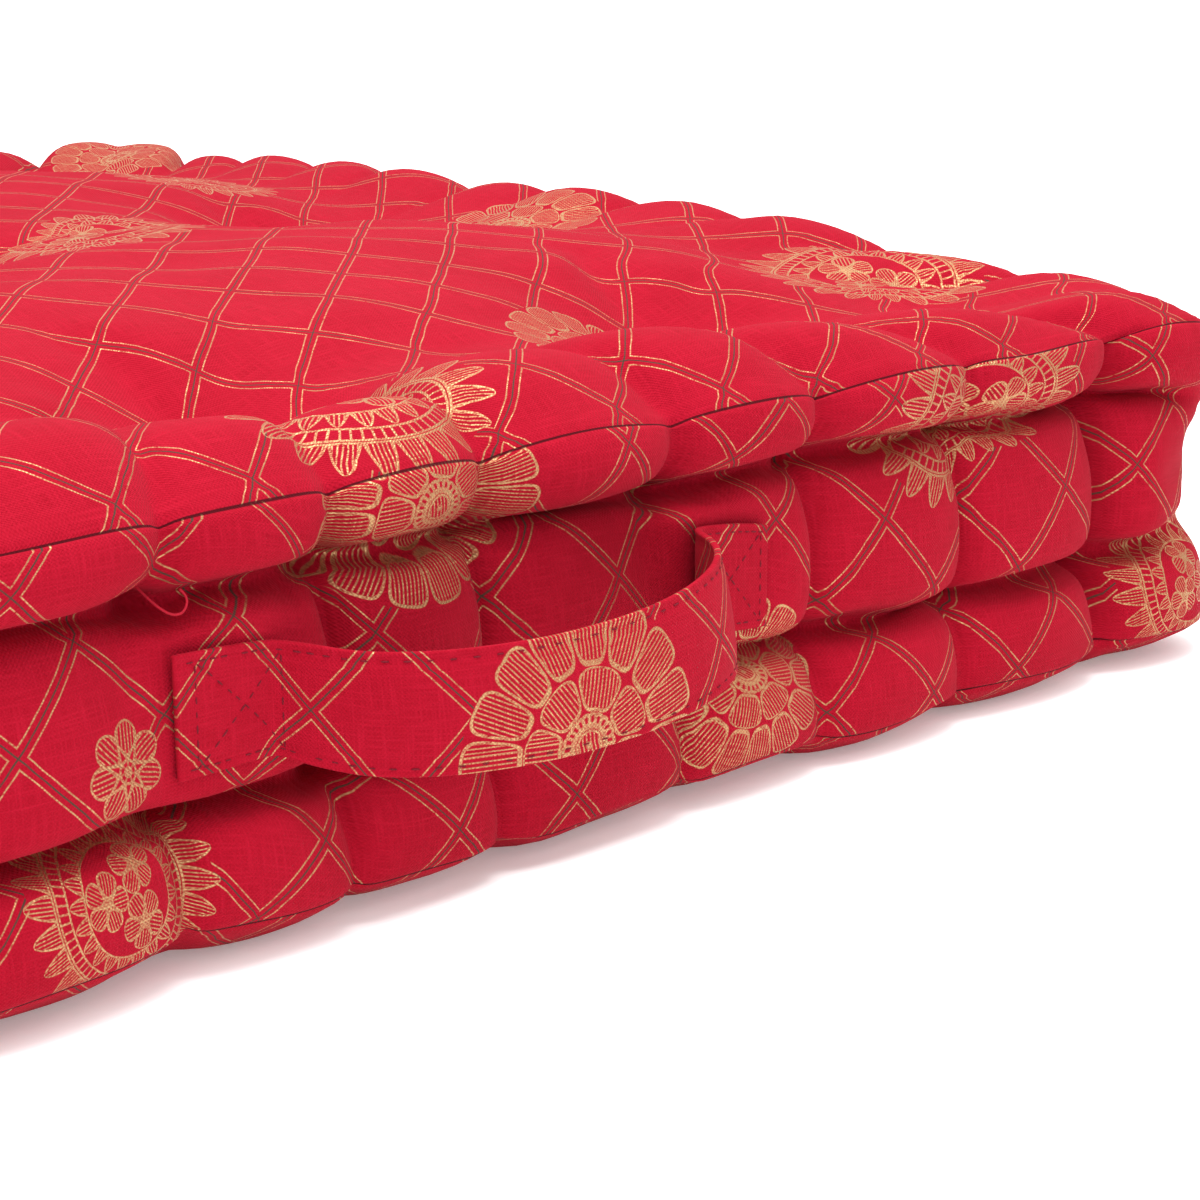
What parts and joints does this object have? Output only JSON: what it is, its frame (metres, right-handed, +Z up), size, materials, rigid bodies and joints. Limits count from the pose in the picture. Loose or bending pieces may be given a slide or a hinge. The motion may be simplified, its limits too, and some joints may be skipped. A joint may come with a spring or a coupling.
{
  "type": "box cushion",
  "caption": "Square box cushion with rolled, hand-stitched edges, a tufted top and one cloth carrying handle on its side.",
  "frame": {"origin": "centre of the overall width and depth, handle included, on the surface that the cushion lies on", "axes": "+Z up through the cushion's thickness, -Y towards the side with the handle, +X to the right along that side"},
  "size_m": [0.65, 0.6776, 0.1374],
  "materials": {
    "printed_cotton": "matt plain-weave red cotton, printed with a gold and brown diamond lattice and gold flower and leaf motifs",
    "printed_cotton_strap": "the same printed red cotton, folded to a strap and stitched along both edges"
  },
  "bodies": {
    "root": {"cushion": "printed_cotton", "handle": "printed_cotton_strap"}
  },
  "joints": []
}
